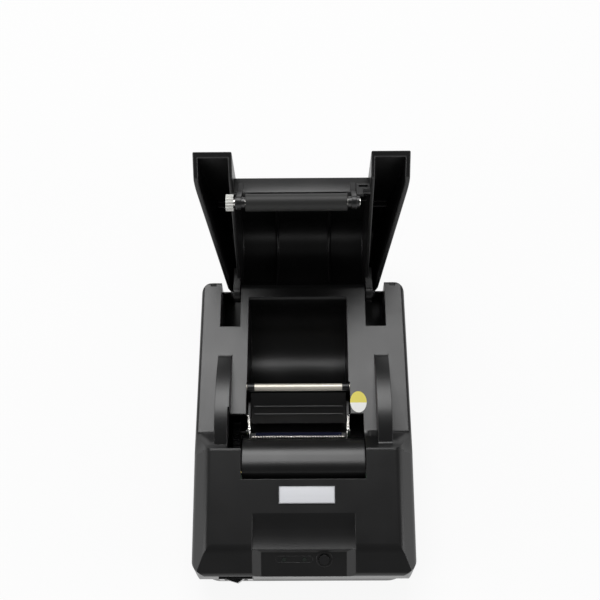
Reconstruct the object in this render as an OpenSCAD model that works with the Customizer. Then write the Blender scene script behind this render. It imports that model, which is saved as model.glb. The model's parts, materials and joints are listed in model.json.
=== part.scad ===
/* [Body] */
// Width of the body across its side walls
body_w = 127; // [124:1:134]
// Length of the body, front rim to rear rim
body_l = 181; // [178:1:188]
// Height of the deck above the table
deck_z = 46; // [45:0.5:52]
// Wall of the moulded covers
wall = 2.5; // [2.2:0.1:2.8]
// Radius of the front corners in plan
front_corner_r = 10; // [8:0.5:11]
// Radius of the rear corners in plan
rear_corner_r = 8; // [6:0.5:9]
// Round along the upper rim of the body
rim_r = 2; // [1.5:0.1:2.2]
// Height of the seam between the covers and the base tray
tray_z = 14; // [13:0.5:15]

/* [Front cover] */
// Distance from the front rim to the seam behind the front cover
seam_from_front = 67.7; // [66:0.1:70]
// Height of the seam above the deck
seam_rise = 9; // [8.5:0.1:9.5]
// Distance from the front rim to the crease between the two facets
crease_from_front = 13.5; // [12:0.5:15]
// Drop of the front rim below the deck
front_drop = 9; // [8:0.5:10]
// Width of the sloped top facet
facet_w = 110; // [108:0.5:112]
// Length of the ramp behind the seam, in plan
ramp_l = 13.5; // [12.5:0.5:14.5]
// Width of the control recess
recess_w = 58; // [56:1:60]
// Depth of the control panel below the facets
recess_depth = 3; // [2.5:0.1:3.5]
// How far the sloped cheeks beside the panel reach in
recess_cheek = 5; // [4:0.5:6]

/* [Paper bay] */
// Inside width of the paper bay
bay_w = 61; // [60:0.5:62]
// Shift of the paper bay and mechanism from the body's centre
bay_shift = -3.3; // [-3.6:0.1:-3]
// Distance from the rear rim to the bay's rear wall
bay_from_rear = 12; // [11:0.5:13]
// Length of the bay, front to rear
bay_l = 58; // [57:0.5:59]

/* [Platen] */
// Diameter of the rubber roller
platen_d = 9.8; // [9.4:0.1:10.2]
// Length of the rubber roller
platen_l = 57; // [56:0.5:57.5]
// Diameter of the platen's steel shaft
shaft_d = 4; // [3.6:0.1:4.4]
// Outside diameter of the platen's bushings
bushing_d = 6.4; // [6:0.1:6.8]
// Depth of the shut platen's axis below the deck
platen_drop = 12; // [11.5:0.1:12.5]
// Distance from the seam back to the shut platen's axis
platen_from_seam = 19.4; // [19:0.1:20]

/* [Lid] */
// Opening angle of the lid as it stands open
open_angle = 102; // [96:1:104]
// Distance from the rear rim to the hinge axis
hinge_from_rear = 5.3; // [5:0.1:5.6]
// Depth of the hinge axis below the deck, which is also the radius of the knuckle
hinge_drop = 6.2; // [6:0.1:6.5]
// Width of the lid across its ears
ear_w = 122.6; // [121.5:0.1:123]
// Width of the lid at its rear end
lid_rear_w = 97; // [96:0.5:98]
// Slope of the lid's top plate, degrees
lid_slope = 20; // [19:0.5:21]
// Diameter of the hinge pins
pin_d = 5; // [4.5:0.1:5.5]
// Half distance between the inner faces of the hinge slots
slot_inner = 38.8; // [38.6:0.1:39]
// Width of each hinge slot
slot_w = 12.4; // [12.2:0.1:12.6]
// Thickness of each hinge arm
arm_t = 4.6; // [4.4:0.1:4.8]
// Gap between parts that move past each other
gap = 0.4; // [0.3:0.05:0.5]

/* [Controls] */
// Diameter of the feed button's cap
button_d = 5.6; // [5.2:0.1:6]
// Width of the rocker switch's bezel
switch_w = 19; // [18:0.5:20]
// Height of the rocker switch's bezel
switch_h = 13; // [12:0.5:14]

/* [Hidden] */
$fn = 48;
eps = 0.01;
far = 400;
fit = 0.15;
hub_clear = 0.1;
foot_h = 2;
foot_d = 10.8;
foot_seat = 0.8;
foot_inset = 15.5;
tray_floor = 2.5;
post_inset = 9.5;
post_d = 7;
screw_head_d = 5;
screw_head_h = 1.7;
screw_d = 2.4;
screw_l = 10;
screw_sunk = 0.3;
drive_slot = [2.8, 0.6];
front_y = -body_l / 2;
rear_y = body_l / 2;
seam_y = front_y + seam_from_front;
seam_z = deck_z + seam_rise;
ledge_y = seam_y + ramp_l;
crease_y = front_y + crease_from_front;
front_rim_z = deck_z - front_drop;
facet_slope = atan((seam_z - deck_z) / (seam_y - crease_y));
panel_slope = atan(front_drop / crease_from_front);
chamfer_drop = seam_rise * cos(facet_slope);
front_undercut = 3;
tray_setback = 1.2;
tray_corner_r = front_corner_r + 4;
tray_y0 = front_y + front_undercut + tray_setback;
front_rim_r = 3;
crease_r = 12;
shoulder_r = 6;
// paper bay
bay_x0 = bay_shift - bay_w / 2;
bay_x1 = bay_shift + bay_w / 2;
bay_y1 = rear_y - bay_from_rear;
bay_y0 = bay_y1 - bay_l;
bay_wall = 2;
bay_floor_z = foot_h + tray_floor + bay_wall + 0.5;
bay_r = bay_l / 2;
// platen, shut
platen_y = seam_y + platen_from_seam;
platen_z = deck_z - platen_drop;
platen_x0 = bay_shift - platen_l / 2 + 0.3;
platen_x1 = platen_x0 + platen_l;
// mechanism
plate_t = 1.5;
mech_x0 = platen_x0 - 0.6 - plate_t;
mech_x1 = platen_x1 + 0.6 + plate_t;
well_x0 = -44;
well_x1 = mech_x1 + 8;
well_y0 = ledge_y - 1.5;
well_y1 = bay_y0 - bay_wall;
pocket_y1 = platen_y + 5.7;
pin_seat = 7;
rear_inner_y = rear_y - wall;
post_xy = [for (s = [-1, 1]) for (y = [front_y + 32, rear_y - 40]) [s * (body_w / 2 - post_inset), y]];
foot_xy = [for (s = [-1, 1]) for (y = [front_y + 16, rear_y - 14]) [s * (body_w / 2 - foot_inset), y]];
port_x = [-24, 0, 24];
port_w = 15;
port_h = 11;
port_z = 14.5;
exit_w = 71;
exit_front_y = seam_y - 16;
exit_rear_y = well_y0 - 2;
exit_r = 14.6;
exit_cy = (exit_front_y + exit_rear_y) / 2;
exit_cz = deck_z - 7.5;
fin_x0 = 43.2;
fin_x1 = 51.6;
frame_z = 17;
frame_y0 = well_y0 + 1.2;
frame_y1 = well_y1 - 2.5;
catch_y0 = platen_y - bushing_d / 2 - 2.2;
catch_y1 = platen_y + bushing_d / 2 + 2.2;
catch_z = platen_z - 6;
catch_top = deck_z + 0.5;
holder_x0 = mech_x0 - 3.3;
holder_x1 = mech_x1 + 3.3;
head_tilt = -40;
head_t = 1;
head_gap = 0.15;
head_w = 52;
heatsink_t = 3.6;
spring_t = 0.6;
spring_reach = 8.6;
spring_tail_y = [6.2, 8];
spring_hole = 4;
guide_bar_d = 4.4;
spring_half = 20;
gear_x0 = -42.6;
gear_t = 4.2;
gear_m = 0.5;
platen_teeth = 17;
drive_teeth = 24;
reduction_teeth = 30;
pinion_teeth = 12;
stud_d = 2.5;
train_gap = 0.2;
drive_dist = gear_m * (platen_teeth / 2 + 1 + drive_teeth / 2 + 1) + train_gap;
drive_angle = -80;
reduction_angle = 194;
pinion_angle = 194;
drive_y = platen_y + drive_dist * cos(drive_angle);
drive_z = platen_z + drive_dist * sin(drive_angle);
reduction_dist = gear_m * (drive_teeth + reduction_teeth) / 2;
reduction_y = drive_y + reduction_dist * cos(reduction_angle);
reduction_z = drive_z + reduction_dist * sin(reduction_angle);
pinion_dist = gear_m * (pinion_teeth + reduction_teeth) / 2;
pinion_y = reduction_y + pinion_dist * cos(pinion_angle);
pinion_z = reduction_z + pinion_dist * sin(pinion_angle);
drive_turn = reduction_angle;
reduction_turn = reduction_angle + 180 + 180 / reduction_teeth;
pinion_turn = pinion_angle + 180 + 180 / pinion_teeth
    + (pinion_angle - reduction_turn) * reduction_teeth / pinion_teeth;
motor_d = 16;
motor_l = 14;
board_z = 6.5;
board_t = 1.6;
board_half = body_w / 2 - 13.5;
board_front = 8;
panel_half = 20;
panel_board_v = [3, 13];
chip_x = [-30, -18];
chip_y = [30, 42];
chip_t = 1.4;
header_x = [10, 26];
header_y = [20, 30];
header_h = 6;
capacitor_at = [36, 44];
capacitor_d = 8;
capacitor_h = 9;
panel_drop = 5.4;
// hinge
hinge_y = rear_y - hinge_from_rear;
hinge_z = deck_z - hinge_drop;
lip_gap = 0.6;
lip_t = 2.2;
lip_r = hinge_drop + lip_gap + lip_t;
slot_x1 = slot_inner + slot_w;
slot_y0 = rear_y - 31;
slot_floor_z = deck_z - 24;
arm_x0 = slot_inner + gap;
arm_x1 = arm_x0 + arm_t;
arm_eye_r = 5.6;
arm_half = arm_eye_r - 0.1;
// lid, shut
lid_t = 2.8;
lid_tip_y = seam_y + gap;
lid_tip_z = seam_z + gap;
lid_rim_z = deck_z + gap;
lid_rear_y = hinge_y + lip_r;
lid_rear_r = 24;
lid_arc_y = lid_rear_y - lid_rear_r;
lid_arc_z = lid_tip_z + (lid_arc_y - lid_rear_r * sin(lid_slope) - lid_tip_y) * tan(lid_slope)
    - lid_rear_r * cos(lid_slope);
ear_straight = 18;
inner_wall_x = slot_inner + gap;
inner_wall_t = 2.2;
lid_bend_y = seam_y + ear_straight;
lid_bend_run = 6;
lid_taper = (lid_rear_w - ear_w) / 2 / (hinge_y - lid_bend_y);
rib_t = 1.6;
rib_x = [-16.6, 17.2];
rib_y = hinge_y - 55.2;
gusset_y = hinge_y - 47;
lid_front_y = platen_y + 1.5;
// controls
button_x = 11.5;
lamp_x = [-11, 0.3];
lamp_d = 2.4;
panel_along = 8.6;
switch_x = -body_w / 2 + 25;
switch_z = 27;
switch_deep = 13;
rocker_axis = 3.6;
badge_x = 1.9;
badge_w = 31.6;
badge_l = 9.6;
badge_along = 25.7;
badge_t = 0.6;
label_at = [32.8, 9.5];
label_w = 9.8;
label_l = 13.4;
// small marks in the rear edge of the deck
notch_x = 56.2;
notch_w = 3.4;
notch_l = 3;
notch_h = 1.2;
bay_step = 1.2;

// ---------- shared shapes ----------
// Plan outline with round corners: r0 in front, r1 behind.
module rounded_plan(w, y0, y1, r0, r1) {
    translate([-w / 2, y0 + r0]) square([w, y1 - y0 - r0 - r1]);
    translate([-w / 2 + r0, y0]) square([w - 2 * r0, r0 + eps]);
    translate([-w / 2 + r1, y1 - r1 - eps]) square([w - 2 * r1, r1 + eps]);
    for (s = [-1, 1]) {
        translate([s * (w / 2 - r0), y0 + r0]) circle(r0);
        translate([s * (w / 2 - r1), y1 - r1]) circle(r1);
    }
}

// Stands a Y-Z outline up and runs it along X from x0 to x1.
module along_x(x0, x1) {
    translate([x0, 0, 0]) rotate([90, 0, 90]) linear_extrude(x1 - x0) children();
}

// Stands an X-Z outline up and runs it along Y from y0 to y1.
module along_y(y0, y1) {
    translate([0, y1, 0]) rotate([90, 0, 0]) linear_extrude(y1 - y0) children();
}

module block(x0, x1, y0, y1, z0, z1) {
    translate([x0, y0, z0]) cube([x1 - x0, y1 - y0, z1 - z0]);
}

module rod_x(x0, x1, y, z, d) {
    translate([x0, y, z]) rotate([0, 90, 0]) cylinder(d = d, h = x1 - x0);
}

module both_sides() {
    children();
    mirror([1, 0, 0]) children();
}

function arc(cx, cy, r, a0, a1, n = 8) = [for (i = [0:n]) let (a = a0 + (a1 - a0) * i / n)
    [cx + r * cos(a), cy + r * sin(a)]];

// Points of a round of radius r on the corner p between the points a and b.
function corner(a, p, b, r, n = 5) = let (u = (a - p) / norm(a - p), v = (b - p) / norm(b - p),
    half = acos(u * v) / 2, c = p + (u + v) / norm(u + v) * r / sin(half), s = p + u * r / tan(half) - c,
    e = p + v * r / tan(half) - c, a0 = atan2(s[1], s[0]), turn = (atan2(e[1], e[0]) - a0 + 540) % 360 - 180)
    [for (i = [0:n]) c + r * [cos(a0 + turn * i / n), sin(a0 + turn * i / n)]];

// Tilts what is drawn for the shut lid back into the open lid's place.
module open_pose() {
    translate([0, hinge_y, hinge_z]) rotate([-open_angle, 0, 0])
        translate([0, -hinge_y, -hinge_z]) children();
}

// Places what is drawn on a flat panel (u across, v up the slope, w outward) on the lower front facet.
module on_panel() {
    translate([0, front_y, front_rim_z]) rotate([panel_slope, 0, 0]) children();
}

// Places what is drawn the same way on the sloped top facet, v measured forward of the seam as negative.
module on_facet() {
    translate([0, seam_y, seam_z]) rotate([facet_slope, 0, 0]) children();
}

module body_plan(inset) {
    linear_extrude(far) rounded_plan(body_w - 2 * inset, front_y + inset, rear_y - inset,
        front_corner_r - inset, rear_corner_r - inset);
}

// ---------- base: covers ----------
module front_solid(inset = 0) {
    half = body_w / 2 - inset;
    back = seam_y + (inset > 0 ? 1 : 0);
    edge = facet_w / 2 - inset / 3;
    shoulder = -chamfer_drop - inset;
    side = concat(corner([half, -far], [half, shoulder], [edge, -inset], shoulder_r),
        corner([half, shoulder], [edge, -inset], [-edge, -inset], shoulder_r));
    intersection() {
        body_plan(inset);
        on_facet() along_y(-far, far) polygon(concat([[half, -far]], side,
            [for (i = [len(side) - 1:-1:0]) [-side[i][0], side[i][1]]], [[-half, -far]]));
        along_x(-body_w, body_w) polygon(concat([[back, tray_z], [front_y + front_undercut + inset, tray_z]],
            corner([front_y + front_undercut + inset, tray_z], [front_y + inset, front_rim_z - inset],
                [crease_y, deck_z - inset * 1.2], front_rim_r),
            corner([front_y + inset, front_rim_z - inset], [crease_y, deck_z - inset * 1.2],
                [seam_y, seam_z - inset * 1.2 + 0.3], crease_r, 4),
            [[back, seam_z - inset * 1.2 + 0.5 + (back - seam_y)]]));
    }
}

// Hollow of the control recess: a scoop, a rounded roll and the sunk panel. deeper lowers it.
module recess_outline(deeper = 0) {
    far_up = 40;
    sink = recess_depth / cos(panel_slope) + deeper;
    polygon(concat([[front_y - 20, front_rim_z - 20 * tan(panel_slope) - sink],
        [crease_y - 1, deck_z - tan(panel_slope) - sink]],
        [[crease_y - 0.4, deck_z - 1.6 - deeper]],
        arc(crease_y + 4.6, deck_z - 4.2 - deeper, 4.4, 140, 60, 6),
        [[crease_y + 11, deck_z - 1.6 - deeper], [crease_y + 13, deck_z - 0.4 - deeper],
            [crease_y + 19, deck_z + 19 * tan(facet_slope) + 0.05 - deeper]],
        [[crease_y + 19, deck_z + far_up], [front_y - 20, deck_z + far_up]]));
}

// Sloped sides of the control panel, from the facet down to the sunk surface.
module recess_cheeks() {
    half = recess_w / 2;
    on_panel() for (turn = [0, 1]) mirror([turn, 0, 0])
        along_y(-far, crease_from_front / cos(panel_slope) - 1)
            polygon([[half, eps], [half - recess_cheek, -recess_depth],
                [half - recess_cheek, -recess_depth - 1], [half + 1, -recess_depth - 1], [half + 1, eps]]);
}

module front_cover() {
    color([0.05, 0.05, 0.055]) difference() {
        front_solid();
        difference() {
            translate([0, 0, -eps]) front_solid(wall);
            intersection() {
                along_x(-recess_w / 2 - 2, recess_w / 2 + 2) recess_outline(2.2);
                block(-far, far, -far, crease_y + 21, tray_z, far);
            }
        }
        difference() {
            along_x(-recess_w / 2, recess_w / 2) recess_outline();
            recess_cheeks();
        }
        on_panel() {
            translate([button_x, panel_along, -recess_depth - 5]) cylinder(d = button_d + 0.6, h = 12);
            for (x = lamp_x) translate([x, panel_along, -recess_depth - 5]) cylinder(d = lamp_d, h = 12);
        }
        block(-exit_w / 2 - gap, exit_w / 2 + gap, exit_front_y - gap, seam_y + 1, deck_z - 10, far);
        block(switch_x - switch_w / 2 - 0.2 + 1, switch_x + switch_w / 2 + 0.2 - 1, front_y - 1,
            front_y + 12, switch_z - switch_h / 2 + 0.8, switch_z + switch_h / 2 - 0.8);
    }
}
module housing_solid(inset = 0) {
    half = body_w / 2 - inset;
    intersection() {
        body_plan(inset);
        union() {
            intersection() {
                along_x(-body_w, body_w) polygon(concat([[seam_y - (inset > 0 ? 1 : 0), tray_z],
                    [seam_y - (inset > 0 ? 1 : 0), deck_z - inset]],
                    arc(rear_y - inset - rim_r, deck_z - inset - rim_r, rim_r, 90, 0, 5),
                    [[rear_y - inset, tray_z]]));
                along_y(front_y, rear_y) polygon(concat([[half, tray_z]],
                    arc(half - rim_r, deck_z - inset - rim_r, rim_r, 0, 90, 5),
                    arc(-half + rim_r, deck_z - inset - rim_r, rim_r, 90, 180, 5), [[-half, tray_z]]));
            }
            if (inset == 0) ramp_wedge();
        }
    }
}

module ramp_wedge() {
    low = body_w / 2 - 0.5;
    side = concat([[body_w / 2, deck_z - 4]],
        corner([low, deck_z - 3.6], [low, deck_z - 0.6], [facet_w / 2, seam_z], shoulder_r / 3),
        corner([low, deck_z - 0.6], [facet_w / 2, seam_z], [-facet_w / 2, seam_z], shoulder_r));
    intersection() {
        along_x(-body_w / 2, body_w / 2) polygon([[seam_y, deck_z - 4], [seam_y, seam_z],
            [seam_y + 0.8, seam_z], [ledge_y - 3, deck_z + 1.3], [ledge_y - 1, deck_z + 0.3],
            [ledge_y + 1, deck_z], [ledge_y + 1, deck_z - 4]]);
        along_y(seam_y, ledge_y + 1) polygon(concat(side,
            [for (i = [len(side) - 1:-1:0]) [-side[i][0], side[i][1]]]));
    }
}

// Lower hollow of the ramp, so that it stays a wall.
module ramp_hollow() {
    along_x(-body_w / 2 + 6, body_w / 2 - 6) polygon([[seam_y - 1, deck_z - 5], [seam_y - 1, seam_z - 3],
        [seam_y + 1, seam_z - 3], [ledge_y - 4, deck_z - 1.6], [ledge_y + 2, deck_z - wall],
        [ledge_y + 2, deck_z - 5]]);
}

module bay_outline(grow = 0) {
    axis_z = bay_floor_z + bay_r;
    translate([bay_y0 - grow, axis_z]) square([bay_l + 2 * grow, deck_z + 1 - axis_z]);
    translate([bay_y0 + bay_r, axis_z]) circle(bay_r + grow, $fn = 96);
}

module fin() {
    peak_y = seam_y + 25;
    peak_z = deck_z + 12;
    rear_run = 38.5;
    rear_r = (rear_run * rear_run + 144) / 24;
    front_run = peak_y - seam_y - 3;
    front_fall = peak_z - seam_z + 2.8;
    front_r = (front_run * front_run + front_fall * front_fall) / (2 * front_fall);
    along_x(fin_x0, fin_x1) polygon(concat([[seam_y + 3, deck_z - 1], [peak_y + rear_run, deck_z - 1]],
        arc(peak_y, peak_z - rear_r, rear_r, 90 - asin(rear_run / rear_r), 90, 10),
        arc(peak_y, peak_z - front_r, front_r, 90, 90 + asin(front_run / front_r), 8)));
}

// Round rear end of the deck between the slots, centred on the hinge.
module knuckle() {
    translate([hinge_y, hinge_z]) circle(hinge_drop);
    translate([bay_y1, hinge_z]) square([hinge_y - bay_y1, hinge_drop]);
}

// Space that the lid's rear wall sweeps, out to radius r from the hinge.
module lip_channel(r) {
    translate([hinge_y, hinge_z]) {
        circle(r);
        rotate(90 - open_angle) translate([0, -r]) square([far, far]);
    }
}

module upper_housing() {
    color([0.05, 0.05, 0.055]) difference() {
        union() {
            difference() {
                housing_solid();
                translate([0, 0, -eps]) housing_solid(wall);
                ramp_hollow();
            }
            intersection() {
                along_x(bay_x0 - bay_wall, bay_x1 + bay_wall) bay_outline(bay_wall);
                block(-far, far, -far, far, 0, deck_z);
            }
            intersection() {
                both_sides()
                    block(slot_inner - 2, slot_x1 + 2, slot_y0 - 2, rear_y, slot_floor_z - 2, deck_z);
                housing_solid();
            }
            both_sides() fin();
            // floor of the channel that the lid's rear lip swings through
            intersection() {
                along_x(-slot_inner - eps, slot_inner + eps) lip_channel(lip_r + 2.5);
                block(-far, far, bay_y1, far, 0, hinge_z);
                housing_solid();
            }
            intersection() {
                along_x(-slot_inner - eps, slot_inner + eps) knuckle();
                housing_solid();
            }
        }
        along_x(bay_x0, bay_x1) bay_outline();
        block(mech_x0 - gap, mech_x1 + gap, well_y0, well_y1, tray_z - 1, far);
        block(well_x0, well_x1, well_y0, pocket_y1, tray_z - 1, far);
        block(well_x0, mech_x0, seam_y + 1.5, well_y0 + 1, tray_z - 1, far);
        block(mech_x0 - gap, mech_x1 + gap, well_y1 - 1, bay_y0 + 1.9, deck_z - 4.6, far);
        for (x = port_x) block(x - port_w / 2, x + port_w / 2, rear_inner_y - 4, rear_y + 1,
            port_z, port_z + port_h);
        block(-exit_w / 2 - gap, exit_w / 2 + gap, seam_y - 1, well_y0 + 1, deck_z - 10, far);
        both_sides() block(slot_inner, slot_x1, slot_y0, rear_y + 1, slot_floor_z, far);
        along_x(-slot_inner - 2.1, slot_inner + 2.1) difference() {
            lip_channel(lip_r + 0.5);
            knuckle();
            translate([-far, -far]) square([far + bay_y1 + bay_wall, 2 * far]);
        }
        both_sides() rod_x(slot_inner - pin_seat, slot_inner + 1, hinge_y, hinge_z, pin_d);
        // step along the bay's rear rim, and a notch in the deck's rear edge at each corner
        block(bay_x0, bay_x1, bay_y1 - 1, bay_y1 + bay_step, deck_z - bay_step, far);
        both_sides() block(notch_x - notch_w / 2, notch_x + notch_w / 2, rear_y - notch_l, rear_y + 1,
            deck_z - notch_h, far);
    }
}

module exit_cover() {
    half = exit_w / 2;
    reach = asin((deck_z - 2 - exit_cz) / exit_r);
    color([0.05, 0.05, 0.055]) {
        along_x(-half, half) polygon(concat(arc(exit_cy, exit_cz, exit_r, reach, 180 - reach, 24),
            arc(exit_cy, exit_cz, exit_r - 2, 180 - reach, reach, 24)));
        both_sides() along_x(half - 1.6, half) polygon(concat([[exit_cy + exit_r - 3, exit_cz - 1]],
            arc(exit_cy, exit_cz, exit_r - 1.8, reach, 180 - reach, 16),
            [[exit_cy - exit_r + 3, exit_cz - 1]]));
    }
}

module bottom_cover() {
    color([0.06, 0.06, 0.065]) difference() {
        union() {
            difference() {
                translate([0, 0, foot_h]) linear_extrude(tray_z - foot_h)
                    rounded_plan(body_w - 1, tray_y0, rear_y - 0.5, tray_corner_r, rear_corner_r);
                translate([0, 0, foot_h + tray_floor]) linear_extrude(tray_z)
                    rounded_plan(body_w - 1 - 2 * wall, tray_y0 + wall, rear_y - 0.5 - wall,
                        tray_corner_r - wall, rear_corner_r - wall);
            }
            for (p = post_xy) translate([p[0], p[1], foot_h]) cylinder(d = post_d, h = tray_z + 6);
            for (x = [mech_x0 + 4, mech_x1 - 4], y = [frame_y0 + 3, frame_y1 - 3])
                translate([x, y, foot_h]) cylinder(d = 6, h = frame_z - foot_h);
            for (x = [4 - board_half, board_half - 4], y = [front_y + 12, seam_y - 4])
                translate([x, y, foot_h]) cylinder(d = 5, h = board_z - foot_h);
        }
        for (p = post_xy) translate([p[0], p[1], foot_h - 1]) cylinder(d = screw_d + hub_clear, h = tray_z);
        for (p = post_xy) translate([p[0], p[1], foot_h - 1])
            cylinder(d = screw_head_d + 1.4, h = screw_head_h + 1.3);
        for (p = foot_xy) translate([p[0], p[1], foot_h - 1]) cylinder(d = foot_d + 0.2, h = foot_seat + 1);
    }
}

module rubber_feet() {
    color([0.02, 0.02, 0.02]) for (p = foot_xy) translate([p[0], p[1], 0])
        cylinder(d = foot_d, h = foot_h + foot_seat);
}

module case_screws() {
    color("silver") for (p = post_xy) translate([p[0], p[1], foot_h + screw_sunk]) difference() {
        union() {
            cylinder(d = screw_head_d, h = screw_head_h);
            cylinder(d = screw_d, h = screw_l);
        }
        translate([0, 0, -0.1]) for (a = [0, 90]) rotate([0, 0, a])
            translate([-drive_slot[0] / 2, -drive_slot[1] / 2, 0]) cube([drive_slot[0], drive_slot[1], 1]);
    }
}

// ---------- base: mechanism ----------
module side_plate_outline() {
    lobe = 1.1;
    square_top = catch_top - 2 * lobe;
    half_slot = bushing_d / 2 + gap;
    difference() {
        union() {
            translate([frame_y0, frame_z]) square([frame_y1 - frame_y0, platen_z - frame_z]);
            translate([catch_y0, frame_z]) square([catch_y1 - catch_y0, square_top - frame_z]);
            translate([catch_y0 + lobe, frame_z])
                square([catch_y1 - catch_y0 - 2 * lobe, catch_top - lobe - frame_z]);
            for (y = [catch_y0 + lobe, catch_y1 - lobe]) {
                translate([y, catch_top - lobe]) circle(lobe);
                translate([y - lobe, square_top - lobe]) square([2 * lobe, 2 * lobe]);
            }
        }
        translate([platen_y, platen_z]) circle(half_slot);
        polygon([[platen_y - half_slot, platen_z], [platen_y + half_slot, platen_z],
            [platen_y + half_slot + 1, catch_top + 1], [platen_y - half_slot - 1, catch_top + 1]]);
    }
}

// Place of the steel catches in each side plate.
module catch_zone() {
    translate([catch_y0, catch_z]) square([catch_y1 - catch_y0, far]);
}

module mechanism_frame() {
    color([0.1, 0.1, 0.11]) difference() {
        union() {
            block(mech_x0, mech_x1, frame_y0, frame_y1, frame_z, frame_z + plate_t);
            for (x = [mech_x0, mech_x1 - plate_t]) along_x(x, x + plate_t) difference() {
                side_plate_outline();
                catch_zone();
            }
            along_x(mech_x0, mech_x0 + plate_t) difference() {
                polygon([[frame_y0 + 1, frame_z], [pinion_y, pinion_z - motor_d / 2 + 1],
                    [pinion_y - motor_d / 2, pinion_z - 4], [pinion_y - motor_d / 2, pinion_z + 4],
                    [pinion_y, pinion_z + motor_d / 2 - 1], [frame_y0 + 1, deck_z - 14]]);
                catch_zone();
            }
            rod_x(gear_x0 - 0.8, mech_x0, drive_y, drive_z, stud_d);
            rod_x(gear_x0 - 0.8, mech_x0, reduction_y, reduction_z, stud_d);
        }
        rod_x(mech_x0 - 1, mech_x0 + plate_t + 1, pinion_y, pinion_z, 6);
    }
}

// Steel jaws that hold the platen's bushings, one on each side plate.
module platen_catches() {
    color([0.85, 0.85, 0.85]) for (x = [mech_x0, mech_x1 - plate_t]) along_x(x, x + plate_t) intersection() {
        side_plate_outline();
        catch_zone();
    }
}

// Local frame of the head: origin on the platen's axis, +Z from the head to the platen.
module at_head() {
    translate([0, platen_y, platen_z]) rotate([head_tilt, 0, 0]) children();
}

module thermal_head() {
    x0 = bay_shift + 0.3 - head_w / 2;
    face = -platen_d / 2 - head_gap;
    color([0.02, 0.02, 0.06]) at_head() {
        block(x0, x0 + head_w, -6.5, 5, face - head_t, face - 0.06);
        block(x0 + 1, x0 + head_w - 1, -0.6, 0.6, face - 0.1, face);
    }
}

module head_heatsink() {
    x0 = mech_x0 + plate_t + 2 * fit;
    x1 = mech_x1 - plate_t - 2 * fit;
    top = -platen_d / 2 - head_gap - head_t;
    color([0.7, 0.7, 0.72]) at_head() difference() {
        block(x0, x1, -7, 6, top - heatsink_t, top);
        for (i = [0:4]) block(x0 + 2, x1 - 2, -6 + i * 2.4, -4.8 + i * 2.4, top - heatsink_t - 1, top - 1.6);
    }
}

module head_spring_plate() {
    top = -platen_d / 2 - head_gap - head_t - heatsink_t;
    floor_z = frame_z + plate_t;
    color([0.75, 0.75, 0.76]) difference() {
        union() {
            at_head() block(bay_shift - spring_half, bay_shift + spring_half, -4, spring_reach, top - spring_t,
                top);
            block(bay_shift - spring_half, bay_shift + spring_half, frame_y0 + spring_tail_y[0],
                frame_y0 + spring_tail_y[1], floor_z, floor_z + 2);
        }
        for (s = [-9, 9]) at_head() block(bay_shift + s - spring_hole, bay_shift + s + spring_hole, -2,
            spring_hole, top - 2, top + 1);
    }
}

module tear_bar() {
    tooth = 1.6;
    count = floor((platen_l - 1) / tooth);
    x0 = platen_x0 + 0.5;
    z_root = deck_z - 1.4;
    color([0.85, 0.85, 0.85]) along_y(exit_rear_y + 0.9, exit_rear_y + 1.7) polygon(concat(
        [[x0 + count * tooth, deck_z - 9], [x0, deck_z - 9], [x0, z_root]],
        [for (i = [0:count - 1]) each [[x0 + (i + 0.5) * tooth, z_root + 1.2],
            [x0 + (i + 1) * tooth, z_root]]]));
}

module paper_guide() {
    x0 = mech_x0 + plate_t + 2 * fit;
    x1 = mech_x1 - plate_t - 2 * fit;
    foot_y = platen_y + platen_d / 2 + 1.2;
    color([0.04, 0.04, 0.045]) {
        along_x(x0, x1) polygon([[frame_y1 + 1.5, deck_z - 5], [frame_y1 + 2.2, deck_z - 7],
            [frame_y1, frame_z + plate_t], [frame_y1 - 2, frame_z + plate_t], [frame_y1 - 2, deck_z - 10],
            [foot_y + 1.5, platen_z - 7], [foot_y, platen_z - 6]]);
        for (t = [0.3, 0.55]) along_x(x0 + 2, x1 - 2) translate([foot_y + (frame_y1 + 1.5 - foot_y) * t,
            platen_z - 6 + (deck_z - 5 - platen_z + 6) * t]) circle(0.5);
    }
}

module guide_bar() {
    color([0.85, 0.84, 0.8]) rod_x(mech_x0 - gap, mech_x1 + gap, bay_y0 - 0.6, deck_z - 2.35,
        guide_bar_d);
}

module paper_sensor() {
    color([0.1, 0.1, 0.1])
        block(bay_shift + 6, bay_shift + 12, frame_y1 - 4.4, frame_y1 - 2, deck_z - 17, deck_z - 12.4);
}

// ---------- base: gear train ----------
function gear_points(teeth, turn) = [for (i = [0:teeth - 1]) let (step = 360 / teeth, a = turn + i * step,
    r = gear_m * teeth / 2) each [
        for (k = [[-0.36, -1.15], [-0.2, 0], [-0.1, 0.92], [0.1, 0.92], [0.2, 0], [0.36, -1.15]])
        [(r + k[1] * gear_m) * cos(a + k[0] * step), (r + k[1] * gear_m) * sin(a + k[0] * step)]]];

module spur(teeth, turn, bore, y, z) {
    along_x(gear_x0, gear_x0 + gear_t) translate([y, z]) difference() {
        polygon(gear_points(teeth, turn));
        circle(d = bore);
    }
}

module drive_gear() {
    color([0.9, 0.9, 0.88]) spur(drive_teeth, drive_turn, stud_d + 0.1, drive_y, drive_z);
}

module reduction_gear() {
    color([0.9, 0.9, 0.88]) spur(reduction_teeth, reduction_turn, stud_d + 0.1, reduction_y, reduction_z);
}

module motor_pinion() {
    color([0.8, 0.68, 0.35]) spur(pinion_teeth, pinion_turn, 1.5, pinion_y, pinion_z);
    color([0.7, 0.7, 0.7]) rod_x(gear_x0, mech_x0 + plate_t + 4, pinion_y, pinion_z, 1.5);
}

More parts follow.
